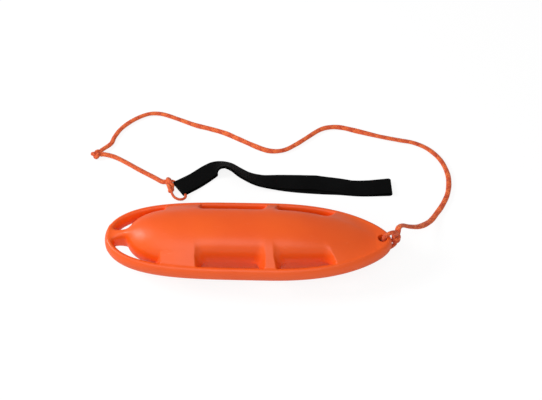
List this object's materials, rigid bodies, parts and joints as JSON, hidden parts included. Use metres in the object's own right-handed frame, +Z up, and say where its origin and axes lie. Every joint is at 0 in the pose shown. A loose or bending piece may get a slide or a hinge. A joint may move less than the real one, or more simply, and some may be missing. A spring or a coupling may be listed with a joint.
{
  "type": "rescue buoy",
  "caption": "Moulded torpedo rescue float with hand-holds cut through its sides, a rear grip, a braided tow line from the nose and a webbing shoulder strap.",
  "frame": {"origin": "on the ground under the middle of the float", "axes": "+X towards the nose, +Y towards the side where the line and the strap lie, +Z up"},
  "size_m": [0.9603, 0.6107, 0.1448],
  "materials": {
    "orange_polyethylene": "satin, softly glossy",
    "white_foam": "closed-cell foam",
    "black_nylon": "satin",
    "grey_rubber": "matte",
    "orange_braid": "braided cord",
    "black_webbing": "woven webbing"
  },
  "bodies": {
    "buoy": {"buoy_shell": "orange_polyethylene", "foam_core": "white_foam", "vent_plug": "black_nylon", "vent_plug_seal": "grey_rubber"},
    "line": {"nose_loop": "orange_braid", "nose_knot": "orange_braid", "tow_line": "orange_braid", "mid_knot": "orange_braid", "line_tail": "orange_braid", "strap_knot": "orange_braid", "strap_loop": "orange_braid"},
    "strap": {"shoulder_strap": "black_webbing"}
  },
  "joints": [
    {"name": "tow_line_swing", "type": "hinge", "parent": "buoy", "child": "line", "pos_m": [0.3255, 0, 0.072], "axis": [0, 0, 1], "range_deg": [-70, 0]},
    {"name": "strap_lift", "type": "hinge", "parent": "line", "child": "strap", "pos_m": [-0.1882, 0.2203, 0.0063], "axis": [0.591, -0.8067, 0], "range_deg": [0, 90]}
  ]
}
